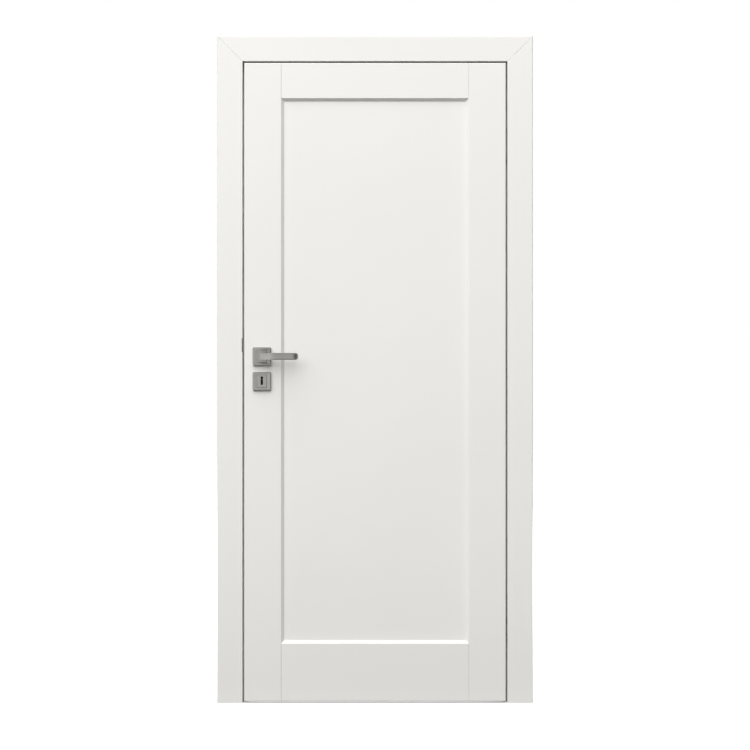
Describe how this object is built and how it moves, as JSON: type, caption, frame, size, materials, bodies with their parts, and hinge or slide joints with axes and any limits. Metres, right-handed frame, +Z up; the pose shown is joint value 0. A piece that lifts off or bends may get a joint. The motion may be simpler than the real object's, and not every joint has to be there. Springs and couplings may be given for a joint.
{
  "type": "interior room door with frame",
  "caption": "White framed-and-panelled interior door leaf in a wrap-round frame with casing, lever on a square rose, key rose below it and concealed hinges.",
  "frame": {"origin": "on the foot of the hinge-side jamb, at floor level, 20 mm outwards from the rebate face and 60 mm behind the front face of the leaf", "axes": "+Z up; +Y from the side the door opens towards, through the wall; +X from the latch side to the hinge side, so a viewer at -Y sees the hinges on the right"},
  "size_m": [0.995, 0.188, 2.103],
  "materials": {
    "white_lacquer": "satin white lacquer",
    "satin_nickel": "satin nickel",
    "lock_steel": "satin",
    "hinge_zinc": "satin silver",
    "seal_strip": "matte"
  },
  "bodies": {
    "frame": {"hinge_jamb": "white_lacquer", "latch_jamb": "white_lacquer", "head_jamb": "white_lacquer", "hinge_rear_casing": "white_lacquer", "latch_rear_casing": "white_lacquer", "head_rear_casing": "white_lacquer", "hinge_seal": "seal_strip", "latch_seal": "seal_strip", "head_seal": "seal_strip", "lower_hinge_frame_cup": "hinge_zinc", "upper_hinge_frame_cup": "hinge_zinc", "strike_plate": "lock_steel"},
    "leaf": {"hinge_stile": "white_lacquer", "latch_stile": "white_lacquer", "top_rail": "white_lacquer", "bottom_rail": "white_lacquer", "panel": "white_lacquer", "lower_hinge_leaf_cup": "hinge_zinc", "upper_hinge_leaf_cup": "hinge_zinc", "lock_case": "lock_steel", "latch_bolt": "lock_steel", "dead_bolt": "lock_steel", "front_handle_rose": "satin_nickel", "back_handle_rose": "satin_nickel", "front_key_rose": "satin_nickel", "back_key_rose": "satin_nickel"},
    "handle": {"front_lever": "satin_nickel", "back_lever": "satin_nickel", "spindle": "lock_steel"},
    "hinge_arms": {"lower_hinge_arms": "hinge_zinc", "upper_hinge_arms": "hinge_zinc"}
  },
  "joints": [
    {"name": "leaf_swing", "type": "hinge", "parent": "frame", "child": "leaf", "pos_m": [-0.0225, -0.062, 1.01], "axis": [0, 0, 1], "range_deg": [0, 110]},
    {"name": "handle_turn", "type": "hinge", "parent": "leaf", "child": "handle", "pos_m": [-0.794, -0.06, 1.0925], "axis": [0, 1, 0], "range_deg": [0, 40], "stiffness_Nm_per_rad": 1.5, "springref_deg": -28.65},
    {"name": "arms_turn", "type": "hinge", "parent": "frame", "child": "hinge_arms", "pos_m": [-0.0225, -0.062, 1.01], "axis": [0, 0, 1], "range_deg": [0, 55]}
  ],
  "couplings": [
    {"joint": "arms_turn", "follows": "leaf_swing", "ratio": 0.5}
  ]
}
